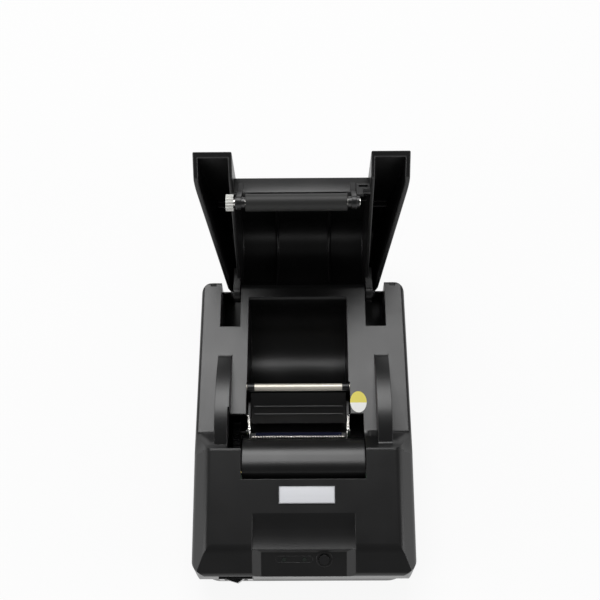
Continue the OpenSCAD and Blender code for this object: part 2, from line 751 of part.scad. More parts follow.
module stepper_motor() {
    x0 = mech_x0 + plate_t;
    color([0.6, 0.6, 0.62]) difference() {
        union() {
            rod_x(x0, x0 + motor_l, pinion_y, pinion_z, motor_d);
            rod_x(x0 - plate_t, x0, pinion_y, pinion_z, 5.8);
            block(x0 + 2, x0 + motor_l - 3, pinion_y - 4, pinion_y + 4, pinion_z, pinion_z + motor_d / 2 + 1);
        }
        rod_x(x0 - plate_t - 1, x0 + 4.2, pinion_y, pinion_z, 1.6);
    }
}

// ---------- base: electronics and controls ----------
module main_board() {
    color([0.05, 0.25, 0.12]) difference() {
        union() {
            block(-board_half, board_half, front_y + board_front, seam_y - 0.5, board_z, board_z + board_t);
            block(chip_x[0], chip_x[1], front_y + chip_y[0], front_y + chip_y[1], board_z + board_t,
                board_z + board_t + chip_t);
            block(header_x[0], header_x[1], front_y + header_y[0], front_y + header_y[1], board_z + board_t,
                board_z + board_t + header_h);
            translate([capacitor_at[0], front_y + capacitor_at[1], board_z + board_t])
                cylinder(d = capacitor_d, h = capacitor_h);
        }
        for (p = post_xy) translate([p[0], p[1], 0]) cylinder(d = 8, h = far);
    }
}

module panel_board() {
    color([0.05, 0.25, 0.12]) on_panel()
        block(-panel_half, panel_half, panel_board_v[0], panel_board_v[1], -recess_depth - panel_drop - 1.2, -recess_depth - panel_drop);
}

module tact_switch() {
    color([0.12, 0.12, 0.12]) on_panel() block(button_x - 3, button_x + 3, panel_along - 3, panel_along + 3,
        -recess_depth - panel_drop, -recess_depth - panel_drop + 1);
}

module light_pipes() {
    color([0.7, 0.75, 0.7]) on_panel() for (x = lamp_x)
        translate([x, panel_along, -recess_depth - panel_drop]) cylinder(d = lamp_d, h = panel_drop + 0.2);
}

module feed_button() {
    color([0.09, 0.09, 0.1]) on_panel() translate([button_x, panel_along, -recess_depth]) {
        translate([0, 0, -2.8]) cylinder(d = button_d, h = 3.6);
        translate([0, 0, -3.2]) cylinder(d = button_d + 1.4, h = 0.8);
    }
}

// Local frame of the power switch: x across, y into the body, z up the front wall.
module at_switch() {
    lean = front_undercut / (front_rim_z - tray_z);
    translate([switch_x, front_y + lean * (front_rim_z - switch_z), switch_z])
        rotate([atan(lean), 0, 0]) children();
}

module switch_housing() {
    w = switch_w / 2;
    h = switch_h / 2;
    color([0.04, 0.04, 0.04]) at_switch() difference() {
        union() {
            block(-w, w, -1.2, 0, -h, h);
            block(-w + 1.4, w - 1.4, 0, switch_deep, -h + 1.6, h - 1.6);
        }
        block(-w + 2.9, w - 2.9, -2, 9, -h + 2.6, h - 2.6);
        block(-w + 2.9, w - 2.9, -2, -0.2, -h + 2.2, h - 2.2);
    }
}

module power_rocker() {
    color([0.06, 0.06, 0.06]) at_switch() translate([0, rocker_axis, 0]) rotate([0, 0, 8])
        linear_extrude(switch_h - 6, center = true) polygon([[-5.8, -4.2], [0, -6.8], [5.8, -4.2],
            [5.4, -0.6], [1.2, 2.4], [-1.2, 2.4], [-5.4, -0.6]]);
}

// Outside of a socket in the rear wall, a press fit in its opening.
module port_body(x) {
    block(x - port_w / 2 + fit, x + port_w / 2 - fit, rear_y - 10, rear_y + 0.4, port_z + fit,
        port_z + port_h - fit);
}

module dc_jack() {
    color([0.03, 0.03, 0.03]) difference() {
        port_body(port_x[0]);
        translate([port_x[0], rear_y - 8, port_z + port_h / 2]) rotate([-90, 0, 0]) cylinder(d = 8, h = 10);
    }
}

module data_port() {
    color([0.75, 0.75, 0.75]) difference() {
        port_body(port_x[1]);
        block(port_x[1] - 4.3, port_x[1] + 4.3, rear_y - 8, rear_y + 1, port_z + 1.8, port_z + port_h - 1.8);
    }
}

module drawer_port() {
    color([0.1, 0.1, 0.1]) difference() {
        port_body(port_x[2]);
        block(port_x[2] - 5, port_x[2] + 5, rear_y - 8, rear_y + 1, port_z + 1.6, port_z + port_h - 3.4);
    }
}

module hinge_pins() {
    color([0.8, 0.8, 0.8]) both_sides() rod_x(slot_inner - pin_seat, arm_x1 + 1.4, hinge_y, hinge_z, pin_d);
}

module badge_plate() {
    color([0.85, 0.86, 0.88]) on_facet() block(badge_x - badge_w / 2, badge_x + badge_w / 2,
        -badge_along - badge_l / 2, -badge_along + badge_l / 2, 0, badge_t);
}

module oval_label() {
    color([0.9, 0.85, 0.3]) translate([label_at[0], label_at[1], deck_z]) linear_extrude(fit)
        polygon([for (a = [0:10:350]) [label_w / 2 * cos(a), label_l / 2 * sin(a)]]);
}

// ---------- lid, drawn shut ----------
function lid_half(y) = ear_w / 2 + lid_taper * (y - lid_bend_y);

module lid_plan(inset = 0) {
    h0 = ear_w / 2 - inset;
    bend = [for (t = [0:0.25:1])
        [h0 + lid_taper * lid_bend_run * t * t, lid_bend_y + lid_bend_run * (2 * t - 1)]];
    side = concat([[h0, lid_tip_y - 1]], bend, [[lid_half(lid_rear_y - 6) - inset, lid_rear_y - 6],
        [lid_half(lid_rear_y) - inset - 3, lid_rear_y + 2]]);
    polygon(concat(side, [for (i = [len(side) - 1:-1:0]) [-side[i][0], side[i][1]]]));
}

// Rounded rear end of the lid's side view, inset by the wall.
function lid_rear_arc(inset) = arc(lid_arc_y, lid_arc_z, lid_rear_r - inset, 90 + lid_slope, 0, 14);

module lid_outline() {
    polygon(concat([[lid_tip_y, lid_tip_z]], lid_rear_arc(0), [[lid_rear_y, hinge_z + 1],
        [lid_rear_y - lip_t, hinge_z + 1], [lid_rear_y - lip_t, lid_rim_z], [ledge_y + gap, lid_rim_z],
        [ledge_y - 1, deck_z + 1.2]]));
}

// Everything below the inner face of a lid wall inset thick.
module lid_hollow(inset) {
    over = 3;
    low = deck_z - 30;
    polygon(concat([[lid_tip_y - over, low],
        [lid_tip_y - over, lid_tip_z - inset / cos(lid_slope) - over * tan(lid_slope)]],
        lid_rear_arc(inset), [[lid_rear_y - inset, low]]));
}

// The 4 mm below the inner face of the top plate.
module lid_rib_zone() {
    along_x(-far, far) difference() {
        lid_hollow(lid_t - 0.3);
        lid_hollow(lid_t + 4);
    }
}

module lid_shell() {
    x0 = inner_wall_x;
    color([0.05, 0.05, 0.055]) open_pose() difference() {
        union() {
            difference() {
                intersection() {
                    linear_extrude(far) lid_plan();
                    along_x(-far, far) lid_outline();
                }
                intersection() {
                    translate([0, 0, -eps]) linear_extrude(far) lid_plan(lid_t);
                    along_x(-far, far) lid_hollow(lid_t);
                }
            }
            intersection() {
                both_sides() block(x0, x0 + inner_wall_t, lid_tip_y, lid_rear_y - 1, lid_rim_z, far);
                along_x(-far, far) lid_outline();
                linear_extrude(far) lid_plan();
            }
            // front wall between the ears
            intersection() {
                block(-x0 - 1, x0 + 1, lid_front_y, lid_front_y + 2.4, lid_rim_z, far);
                along_x(-far, far) translate([0, -2.5]) lid_outline();
            }
            // hinge arms
            both_sides() along_x(arm_x0, arm_x1) difference() {
                union() {
                    translate([hinge_y, hinge_z]) circle(arm_eye_r);
                    polygon([[hinge_y - arm_half, hinge_z], [hinge_y + arm_half, hinge_z],
                        [hinge_y + arm_half, deck_z + 6], [hinge_y - arm_half - 6, deck_z + 6],
                        [hinge_y - arm_half - 2, deck_z + 1]]);
                }
                translate([hinge_y, hinge_z]) circle(d = pin_d + 0.1);
            }
            // stiffening ribs under the top plate and between the walls of each ear
            intersection() {
                for (x = rib_x) block(x - rib_t / 2, x + rib_t / 2, lid_front_y, lid_rear_y - 2, deck_z, far);
                lid_rib_zone();
            }
            intersection() {
                block(-x0, x0, rib_y - rib_t / 2, rib_y + rib_t / 2, deck_z, far);
                lid_rib_zone();
            }
            intersection() {
                both_sides() block(x0, lid_half(gusset_y) - 1, gusset_y - rib_t / 2, gusset_y + rib_t / 2,
                    deck_z, far);
                lid_rib_zone();
            }
        }
        // the middle of the front edge stands back between the ears
        block(-x0, x0, lid_tip_y - 1, lid_front_y, 0, far);
        // clear of the slots' walls below the rim
        both_sides() block(arm_x1, far, lid_rear_y - 40, far, 0, lid_rim_z);
        rod_x(-far, far, hinge_y, hinge_z, pin_d + 0.1);
    }
}

module platen_holder() {
    arm_w = 3;
    eye_r = bushing_d / 2 + 0.8;
    side = eye_r - 0.1;
    arm_back = pocket_y1 - gap;
    arm_front = lid_front_y + 2.7;
    back_y = platen_y + platen_d / 2 + 3.2;
    top = deck_z + 8;
    color([0.1, 0.1, 0.11]) open_pose() difference() {
        union() {
            block(holder_x0, holder_x1, back_y - 2, back_y, lid_rim_z + 0.2, top);
            block(mech_x0 + plate_t + 0.5, mech_x1 - plate_t - 0.5, back_y - 2, back_y, platen_z + 1.5, top);
            for (x = [holder_x0, holder_x1 - arm_w]) along_x(x, x + arm_w) union() {
                translate([platen_y, platen_z]) circle(eye_r);
                polygon([[platen_y - side, platen_z], [platen_y + side, platen_z], [arm_back, platen_z + 4],
                    [arm_back, deck_z + 0.3], [back_y, lid_rim_z + 0.2], [back_y, top], [arm_front, top],
                    [arm_front, deck_z + 0.2], [platen_y + 0.6, deck_z + 0.2]]);
            }
        }
        rod_x(holder_x0 - 1, holder_x1 + 1, platen_y, platen_z, bushing_d);
    }
}

module latch_block() {
    x0 = holder_x1 + 2 * fit;
    z0 = deck_z + gap;
    color([0.08, 0.08, 0.09]) open_pose() difference() {
        union() {
            block(x0, inner_wall_x, lid_front_y - 2.6, lid_front_y, z0, z0 + 4.4);
            block(x0, well_x1 - 0.6, lid_front_y - 2.6, lid_front_y - 0.6, z0 - 4.4, z0 + 1);
        }
        block(x0 + 1.4, inner_wall_x - 1.4, lid_front_y - 3, lid_front_y - 1.2, z0 + 1.4, z0 + 3);
    }
}

module platen_bushings() {
    color([0.75, 0.75, 0.76]) open_pose() difference() {
        union() {
            rod_x(holder_x0 - 0.6, platen_x0 - gap, platen_y, platen_z, bushing_d);
            rod_x(platen_x1 + gap, holder_x1 + 1.6, platen_y, platen_z, bushing_d);
        }
        rod_x(-far, far, platen_y, platen_z, shaft_d + 0.1);
    }
}

module platen_shaft() {
    color([0.8, 0.8, 0.8]) open_pose() rod_x(gear_x0, platen_x1 + 7.4, platen_y, platen_z, shaft_d);
}

module platen_rubber() {
    color([0.03, 0.03, 0.03]) open_pose() difference() {
        rod_x(platen_x0, platen_x1, platen_y, platen_z, platen_d);
        rod_x(platen_x0 - 1, platen_x1 + 1, platen_y, platen_z, shaft_d);
    }
}

module platen_gear() {
    color([0.92, 0.92, 0.9]) open_pose() spur(platen_teeth, 90, shaft_d, platen_y, platen_z);
}

bottom_cover();
upper_housing();
front_cover();
exit_cover();
tear_bar();
mechanism_frame();
platen_catches();
thermal_head();
head_heatsink();
head_spring_plate();
paper_guide();
guide_bar();
paper_sensor();
stepper_motor();
motor_pinion();
reduction_gear();
drive_gear();
main_board();
panel_board();
light_pipes();
feed_button();
tact_switch();
switch_housing();
power_rocker();
dc_jack();
data_port();
drawer_port();
rubber_feet();
case_screws();
hinge_pins();
badge_plate();
oval_label();
lid_shell();
platen_holder();
latch_block();
platen_bushings();
platen_shaft();
platen_rubber();
platen_gear();
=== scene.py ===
"""Looks for the receipt printer: materials, small trim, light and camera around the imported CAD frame."""
import json
import math

import bmesh
import bpy
from mathutils import Matrix, Vector
from mathutils.bvhtree import BVHTree


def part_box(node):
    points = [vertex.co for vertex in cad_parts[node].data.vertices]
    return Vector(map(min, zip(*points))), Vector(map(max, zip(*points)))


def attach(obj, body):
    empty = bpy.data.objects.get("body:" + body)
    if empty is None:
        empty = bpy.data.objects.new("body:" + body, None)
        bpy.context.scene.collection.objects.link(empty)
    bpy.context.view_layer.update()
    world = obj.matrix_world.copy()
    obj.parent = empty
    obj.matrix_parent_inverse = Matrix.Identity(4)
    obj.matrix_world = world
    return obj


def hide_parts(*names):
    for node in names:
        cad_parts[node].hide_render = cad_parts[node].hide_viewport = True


MM = 0.001

# ---------- frame ----------
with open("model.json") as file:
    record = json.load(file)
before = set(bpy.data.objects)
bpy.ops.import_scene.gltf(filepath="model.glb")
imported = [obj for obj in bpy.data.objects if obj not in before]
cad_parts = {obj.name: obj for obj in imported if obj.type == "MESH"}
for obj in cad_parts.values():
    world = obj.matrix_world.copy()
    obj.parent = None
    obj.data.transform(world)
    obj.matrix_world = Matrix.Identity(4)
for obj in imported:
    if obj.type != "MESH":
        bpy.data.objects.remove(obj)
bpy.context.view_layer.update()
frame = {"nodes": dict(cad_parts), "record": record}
nodes = frame["nodes"]
scene = bpy.context.scene

BODY_OF = {node: body for body, group in frame["record"]["behaviour"]["bodies"].items() for node in group}
HINGE = Vector(next(j for j in frame["record"]["behaviour"]["joints"] if j["name"] == "lid_hinge")["pos_m"])
LID_OPEN = math.radians(102)
# The lid stands open at rest. SHUT carries a point of it to where it lies with the lid shut, OPEN back again.
SHUT = Matrix.Translation(HINGE) @ Matrix.Rotation(LID_OPEN, 4, "X") @ Matrix.Translation(-HINGE)
OPEN = SHUT.inverted()


def add_object(name, data):
    added = bpy.data.objects.new(name, data)
    scene.collection.objects.link(added)
    return added


def node_centre(name):
    low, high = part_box(name)
    return (low + high) / 2


# ---------- camera ----------
IMAGE_SIZE = 600
FOCAL_PX = 1000
SENSOR_MM = 36
CLIP_START, CLIP_END = 0.01, 20
CAMERA_POS = Vector((3.1, -202.6, 605.4)) * MM
CAMERA_PITCH = math.radians(63.4)
CAMERA_YAW = -0.0176
CAMERA_ROLL = 0.0218


def make_camera():
    data = bpy.data.cameras.new("camera")
    data.sensor_width = SENSOR_MM
    data.lens = data.sensor_width * FOCAL_PX / IMAGE_SIZE
    data.clip_start = CLIP_START
    data.clip_end = CLIP_END
    level = math.cos(CAMERA_PITCH)
    ahead = Vector((math.sin(CAMERA_YAW) * level, math.cos(CAMERA_YAW) * level, -math.sin(CAMERA_PITCH)))
    right = Vector((math.cos(CAMERA_YAW), -math.sin(CAMERA_YAW), 0))
    up = right.cross(ahead)
    up_rolled = (up + right * CAMERA_ROLL).normalized()
    right_rolled = ahead.cross(up_rolled).normalized()
    turn = Matrix((right_rolled, up_rolled, -ahead)).transposed().to_4x4()
    camera = add_object("camera", data)
    camera.matrix_world = Matrix.Translation(CAMERA_POS) @ turn
    scene.camera = camera


# ---------- materials ----------
PLASTIC_SPECULAR = 0.55
# Noise scales of the spark-eroded grain and of the patches in gloss, and how far noise shifts the roughness.
PLASTIC_GRAIN = 2600
PLASTIC_PATCHES = 60
PLASTIC_SPREAD = (-0.04, 0.05)
METAL_SPREAD = (-0.06, 0.08)
RUBBER_GRAIN = 1500
PLASTIC_BUMP, METAL_BUMP, RUBBER_BUMP = 0.06 * MM, 0.03 * MM, 0.05 * MM
RUBBER_STRENGTH = 0.3
# Radius by which the shading softens edges. A plastic's own stands with its colour.
METAL_EDGE, RUBBER_EDGE = 0.15 * MM, 0.2 * MM
EDGE_SAMPLES = 4

# Each material's base colour, its roughness and what differs from the usual finish of its kind.
PLASTICS = {
    "black_case": ((0.006, 0.006, 0.0062), 0.33, {"edge": 0.6 * MM}),
    "dark_plastic": ((0.005, 0.005, 0.0055), 0.36, {"edge": 0.25 * MM}),
    "gloss_black": ((0.004, 0.004, 0.0045), 0.18, {"strength": 0.05}),
    "board_green": ((0.01, 0.08, 0.03), 0.3, {"strength": 0.1}),
    "white_gear": ((0.75, 0.75, 0.72), 0.4, {"strength": 0.1, "edge": 0.1 * MM}),
    "badge_face": ((0.72, 0.73, 0.76), 0.3, {"strength": 0.04, "edge": 0}),
}
METALS = {
    "bright_steel": ((0.85, 0.84, 0.82), 0.22, {}),
    "steel": ((0.8, 0.78, 0.75), 0.3, {"along": (300, 4000, 4000)}),
    "heatsink_alu": ((0.7, 0.71, 0.73), 0.38, {"along": (200, 3000, 3000)}),
    "brass_gear": ((0.8, 0.62, 0.3), 0.3, {}),
    "badge": ((0.7, 0.71, 0.74), 0.34, {"along": (200, 4000, 4000), "strength": 0.05}),
    "satin_rod": ((0.72, 0.68, 0.6), 0.42, {"along": (300, 4000, 4000), "metal": 0.55}),
    "dull_bush": ((0.07, 0.07, 0.07), 0.4, {}),
}
RUBBERS = {
    "roller_rubber": ((0.012, 0.012, 0.0115), 0.55),
    "foot_rubber": ((0.012, 0.012, 0.012), 0.7),
}
GLAZES = {
    "head_glaze": ((0.01, 0.012, 0.03), 0.08, {"Coat_Weight": 1.0}),
    "lamp": ((0.02, 0.025, 0.022), 0.15, {}),
}
LABEL_WHITE = (0.82, 0.82, 0.79)
LABEL_YELLOW = (0.72, 0.62, 0.06)
LABEL_ROUGH = 0.45
LABEL_SPLIT_BELOW_CENTRE = 0.5 * MM


def new_material(name, color, rough, metal=0.0, **sockets):
    material = bpy.data.materials.new(name)
    material.use_nodes = True
    tree = material.node_tree
    shader = tree.nodes["Principled BSDF"]
    shader.inputs["Base Color"].default_value = (*color, 1)
    shader.inputs["Roughness"].default_value = rough
    shader.inputs["Metallic"].default_value = metal
    for key, value in sockets.items():
        shader.inputs[key.replace("_", " ")].default_value = value
    return material, tree, shader


def add_noise(tree, scale, detail):
    place = tree.nodes.new("ShaderNodeTexCoord")
    noise = tree.nodes.new("ShaderNodeTexNoise")
    noise.inputs["Scale"].default_value = scale
    noise.inputs["Detail"].default_value = detail
    tree.links.new(place.outputs["Object"], noise.inputs["Vector"])
    return noise


def vary_roughness(tree, shader, noise, rough, spread):
    """Lets the noise shift the roughness between the two ends of the spread."""
    ramp = tree.nodes.new("ShaderNodeMapRange")
    ramp.inputs["To Min"].default_value = rough + spread[0]
    ramp.inputs["To Max"].default_value = rough + spread[1]
    tree.links.new(noise.outputs["Fac"], ramp.inputs["Value"])
    tree.links.new(ramp.outputs["Result"], shader.inputs["Roughness"])


def add_surface(tree, shader, noise, strength, distance, edge):
    """Bump from the noise, over edges softened by a shader bevel of radius edge."""
    bump = tree.nodes.new("ShaderNodeBump")
    bump.inputs["Strength"].default_value = strength
    bump.inputs["Distance"].default_value = distance
    tree.links.new(noise.outputs["Fac"], bump.inputs["Height"])
    if edge > 0:
        soft = tree.nodes.new("ShaderNodeBevel")
        soft.samples = EDGE_SAMPLES
        soft.inputs["Radius"].default_value = edge
        tree.links.new(soft.outputs["Normal"], bump.inputs["Normal"])
    tree.links.new(bump.outputs["Normal"], shader.inputs["Normal"])


def moulded_plastic(name, color, rough, strength=0.25, edge=0.4 * MM):
    """Satin moulded plastic: a fine spark-eroded grain, slight patchiness in gloss."""
    material, tree, shader = new_material(name, color, rough, Specular_IOR_Level=PLASTIC_SPECULAR)
    grain = add_noise(tree, PLASTIC_GRAIN, 1.0)
    patches = add_noise(tree, PLASTIC_PATCHES, 3.0)
    vary_roughness(tree, shader, patches, rough, PLASTIC_SPREAD)
    add_surface(tree, shader, grain, strength, PLASTIC_BUMP, edge)
    return material


def brushed_metal(name, color, rough, along=(4000, 300, 4000), strength=0.12, metal=1.0):
    """Metal with fine scratches along the axis whose noise scale is the lowest."""
    material, tree, shader = new_material(name, color, rough, metal)
    place = tree.nodes.new("ShaderNodeTexCoord")
    stretch = tree.nodes.new("ShaderNodeMapping")
    stretch.inputs["Scale"].default_value = along
    scratches = tree.nodes.new("ShaderNodeTexNoise")
    scratches.inputs["Scale"].default_value = 1.0
    tree.links.new(place.outputs["Object"], stretch.inputs["Vector"])
    tree.links.new(stretch.outputs["Vector"], scratches.inputs["Vector"])
    vary_roughness(tree, shader, scratches, rough, METAL_SPREAD)
    add_surface(tree, shader, scratches, strength, METAL_BUMP, METAL_EDGE)
    return material


def rubber(name, color, rough):
    material, tree, shader = new_material(name, color, rough)
    grain = add_noise(tree, RUBBER_GRAIN, 2.0)
    add_surface(tree, shader, grain, RUBBER_STRENGTH, RUBBER_BUMP, RUBBER_EDGE)
    return material


def make_label():
    """Plain oval label: yellow above, white below."""
    material, tree, shader = new_material("label", LABEL_WHITE, LABEL_ROUGH)
    place = tree.nodes.new("ShaderNodeTexCoord")
    split = tree.nodes.new("ShaderNodeSeparateXYZ")
    step = tree.nodes.new("ShaderNodeMath")
    step.operation = "GREATER_THAN"
    step.inputs[1].default_value = node_centre("oval_label").y - LABEL_SPLIT_BELOW_CENTRE
    mix = tree.nodes.new("ShaderNodeMix")
    mix.data_type = "RGBA"
    mix.inputs["A"].default_value = (*LABEL_WHITE, 1)
    mix.inputs["B"].default_value = (*LABEL_YELLOW, 1)
    tree.links.new(place.outputs["Object"], split.inputs["Vector"])
    tree.links.new(split.outputs["Y"], step.inputs[0])
    tree.links.new(step.outputs["Value"], mix.inputs["Factor"])
    tree.links.new(mix.outputs["Result"], shader.inputs["Base Color"])
    return material


def make_materials():
    made = {"label": make_label()}
    for name, (color, rough, options) in PLASTICS.items():
        made[name] = moulded_plastic(name, color, rough, **options)
    for name, (color, rough, options) in METALS.items():
        made[name] = brushed_metal(name, color, rough, **options)
    for name, (color, rough) in RUBBERS.items():
        made[name] = rubber(name, color, rough)
    for name, (color, rough, sockets) in GLAZES.items():
        made[name], _, _ = new_material(name, color, rough, **sockets)
    return made


# Nodes whose finish differs from the rest of their slot.
NODE_FINISH = {"guide_bar": "satin_rod", "platen_bushings": "dull_bush"}


def dress_nodes(materials):
    slots = {s["node"]: s["material_slot"] for s in frame["record"]["subparts"]}
    for name, node in nodes.items():
        node.data.materials.clear()
        node.data.materials.append(materials[NODE_FINISH.get(name, slots[name])])


# ---------- mesh helpers ----------
# Points closer than WELD are one point, and faces that meet at less than FLAT are one face.
WELD = 1e-6
FLAT = math.radians(0.5)
# Edges from this angle up are rounded where a radius is given, and a cover without one keeps them sharp.
SHARP = math.radians(32)
SMALL_PIECE_SHARP = math.radians(40)
BEVEL_SEGMENTS = 3
NORMAL_WEIGHT = 100
ALONG_X = Matrix.Rotation(math.radians(90), 4, "Y")


def merge_flat(work, angle=FLAT):
    """Joins double points and the triangles of each flat face."""
    bmesh.ops.remove_doubles(work, verts=work.verts, dist=WELD)
    bmesh.ops.dissolve_limit(work, angle_limit=angle, verts=work.verts, edges=work.edges)


def mesh_object(name, work):
    mesh = bpy.data.meshes.new(name)
    work.to_mesh(mesh)
    work.free()
    return add_object(name, mesh)


def apply_modifiers(piece):
    bpy.context.view_layer.update()
    done = bpy.data.meshes.new_from_object(piece.evaluated_get(bpy.context.evaluated_depsgraph_get()))
    piece.modifiers.clear()
    piece.data = done


def add_bevel(piece, width, clamp):
    bevel = piece.modifiers.new("round", "BEVEL")
    bevel.width = width
    bevel.segments = BEVEL_SEGMENTS
    bevel.limit_method = "ANGLE"
    bevel.angle_limit = SHARP
    bevel.use_clamp_overlap = clamp


def shade_smooth(mesh):
    mesh.polygons.foreach_set("use_smooth", [True] * len(mesh.polygons))


def finish_piece(piece, body, material, bevel=0.0):
    if bevel:
        add_bevel(piece, bevel, clamp=True)
        apply_modifiers(piece)
    shade_smooth(piece.data)
    piece.data.set_sharp_from_angle(angle=SMALL_PIECE_SHARP)
    piece.data.materials.clear()
    piece.data.materials.append(material)
    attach(piece, body)


def extrude_profile(work, profile, x0, x1):
    """A closed prism along X from a list of (y, z) points."""
    near = [work.verts.new((x0, y, z)) for y, z in profile]
    far = [work.verts.new((x1, y, z)) for y, z in profile]
    count = len(profile)
    work.faces.new(near)
    work.faces.new(far[::-1])
    for i in range(count):
        k = (i + 1) % count
        work.faces.new((near[k], near[i], far[i], far[k]))
    bmesh.ops.recalc_face_normals(work, faces=work.faces)


def round_point(place, angle, radius, height, centre_x=0.0):
    """A point in the frame place: at this angle and radius round centre_x, at this height."""
    return place @ Vector((centre_x + radius * math.cos(angle), radius * math.sin(angle), height))


def revolve(work, profile, steps, place):
    """Turns a closed list of (radius, height) points round Z, then puts the ring in place."""
    rings = []
    for i in range(steps):
        angle = 2 * math.pi * i / steps
        rings.append([work.verts.new(round_point(place, angle, r, h)) for r, h in profile])
    for i in range(steps):
        here, there = rings[i], rings[(i + 1) % steps]
        for k in range(len(profile)):
            n = (k + 1) % len(profile)
            work.faces.new((here[k], there[k], there[n], here[n]))
    bmesh.ops.recalc_face_normals(work, faces=work.faces)


def tube_profile(inner, outer, low, high):
    """A tube's wall as (radius, height) points."""
    return [(inner, low), (inner, high), (outer, high), (outer, low)]


# ---------- exit cover ----------
EXIT_RADIUS = 14.6 * MM
# Fullness of the exit cover's front shoulder, and how far round from the top it reaches.
EXIT_FULL = 1.3 * MM
EXIT_REACH = math.radians(62)
# Points this near the highest one lie on the top, and points this near the radius lie on the outer skin.
EXIT_TOP_BAND = 0.02 * MM
EXIT_SKIN = 0.5 * MM


def fill_exit_shoulder(work):
    """Squares the front shoulder of the exit cover a little."""
    _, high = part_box("exit_cover")
    top = [v.co for v in work.verts if v.co.z > high.z - EXIT_TOP_BAND]
    mid_y = sum(v.y for v in top) / len(top)
    centre = Vector((0, mid_y, high.z - EXIT_RADIUS))
    for v in work.verts:
        out = Vector((0, v.co.y, v.co.z)) - centre
        turn = math.atan2(-out.y, out.z)
        if out.length > EXIT_RADIUS - EXIT_SKIN and 0 < turn < EXIT_REACH:
            v.co += out.normalized() * EXIT_FULL * math.sin(math.pi * turn / EXIT_REACH) ** 2


# ---------- lid ----------
# The lid's front between its ears, with the lid shut: a wall up to the bend, and a sloped lip from there on.
LIP_HALF = 39.2 * MM
LIP_FRONT = 1.1 * MM
LIP_REAR = 11 * MM
LIP_LOW, LIP_MID, LIP_HIGH = 46.4 * MM, 58.1 * MM, 65.6 * MM
LIP_WALL = 2.2 * MM
# Share of the wall by which the bend lies lower inside than outside.
LIP_INNER_BEND = 0.6
# How far the lip reaches into the ears and into the plate behind it.
LIP_SEAT = 0.3 * MM
LIP_BEVEL = 0.5 * MM
# The block that is cut out for the lip starts in front of the CAD's wall and ends above its plate.
CUT_FRONT = -4 * MM
CUT_BELOW = 1 * MM
CUT_ABOVE = 8 * MM
# Corners narrower than this are left over from the cut.
SPIKE = 0.02 * MM
# With the lid shut: how far the latch block is set back, and the height above which the holder's arms lie.
LATCH_SHIFT = Vector((0, 3, 0)) * MM
ARM_LOW_Z = 45.5 * MM


def cut_lid_lip(work):
    """Takes the CAD's front wall and the plate behind it out of the lid's copy, where the sloped lip goes."""
    shell = mesh_object("lid_cut", work.copy())
    block = bmesh.new()
    low, high = LIP_LOW - CUT_BELOW, LIP_HIGH + CUT_ABOVE
    extrude_profile(block, [(CUT_FRONT, low), (LIP_REAR, low), (LIP_REAR, high), (CUT_FRONT, high)],
                    -LIP_HALF, LIP_HALF)
    block.transform(OPEN)
    cutter = mesh_object("lid_cutter", block)
    cut = shell.modifiers.new("cut", "BOOLEAN")
    cut.object = cutter
    cut.solver = "EXACT"
    apply_modifiers(shell)
    work.clear()
    work.from_mesh(shell.data)
    merge_flat(work)
    # The cut runs along the ears' inner walls, where it leaves corners without area.
    bmesh.ops.dissolve_degenerate(work, dist=SPIKE, edges=work.edges)
    bmesh.ops.delete(work, geom=[e for e in work.edges if not e.link_faces], context="EDGES")
    bpy.data.objects.remove(shell)
    bpy.data.objects.remove(cutter)


def add_lid_lip(material):
    """Front wall between the ears with the sloped lip that a finger lifts."""
    back = LIP_REAR + LIP_SEAT
    inside = LIP_FRONT + LIP_WALL
    work = bmesh.new()
    outer = [(LIP_FRONT, LIP_LOW), (LIP_FRONT, LIP_MID), (back, LIP_HIGH)]
    inner = [(back, LIP_HIGH - LIP_WALL), (inside, LIP_MID - LIP_WALL * LIP_INNER_BEND), (inside, LIP_LOW)]
    extrude_profile(work, outer + inner, -LIP_HALF - LIP_SEAT, LIP_HALF + LIP_SEAT)
    work.transform(OPEN)
    finish_piece(mesh_object("lid_lip", work), "lid", material, bevel=LIP_BEVEL)


def pull_holder_back(work):
    """Trims the roller holder's arms at y = 0, with the lid shut."""
    for v in work.verts:
        shut = SHUT @ v.co
        if shut.z > ARM_LOW_Z and shut.y < 0:
            shut.y = 0
            v.co = OPEN @ shut


def move_latch_back(work):
    """Sets the latch block back, clear of the housing when the lid is shut."""
    for v in work.verts:
        v.co = OPEN @ (SHUT @ v.co + LATCH_SHIFT)


# ---------- finger scoop ----------
# Above the control panel: its half width, front and rear edge, and how it falls towards the front.
SCOOP_HALF = 29 * MM
SCOOP_FRONT_Y = -77.6 * MM
SCOOP_RUN = 19.4 * MM
SCOOP_FRONT_Z = 44.4 * MM
SCOOP_RISE = 4.7 * MM
SCOOP_CURVE = 2.3
SCOOP_CUTS = 14
# Tolerances: at the scoop's sides and ends, and for a point that already lies on a cut.
SCOOP_SLACK = 0.05 * MM
SCOOP_SNAP = 1e-7
# Faces of the scoop's floor face up at least this much, and lie no further than this under its front edge.
SCOOP_UP = 0.5
SCOOP_BELOW = 0.5 * MM
# Points further than this under the front edge belong to what lies below the scoop.
SCOOP_DEEP = 1 * MM
# Slope of the facet that the scoop is cut into, and how near to it a point still belongs to it.
FACET_TAN = 0.1624
FACET_SLACK = 0.12 * MM
# The rounded crease between the facets, which the scoop leaves alone: in front of this y, above this z.
CREASE_REAR_Y = -76 * MM
CREASE_LOW_Z = 45 * MM


def scoop_z(y):
    share = min(max((y - SCOOP_FRONT_Y) / SCOOP_RUN, 0), 1)
    return SCOOP_FRONT_Z + SCOOP_RISE * share ** SCOOP_CURVE


def on_scoop_floor(face):
    return (face.normal.z > SCOOP_UP and face.calc_center_median().z > SCOOP_FRONT_Z - SCOOP_BELOW
            and all(abs(v.co.x) < SCOOP_HALF + SCOOP_SLACK for v in face.verts))


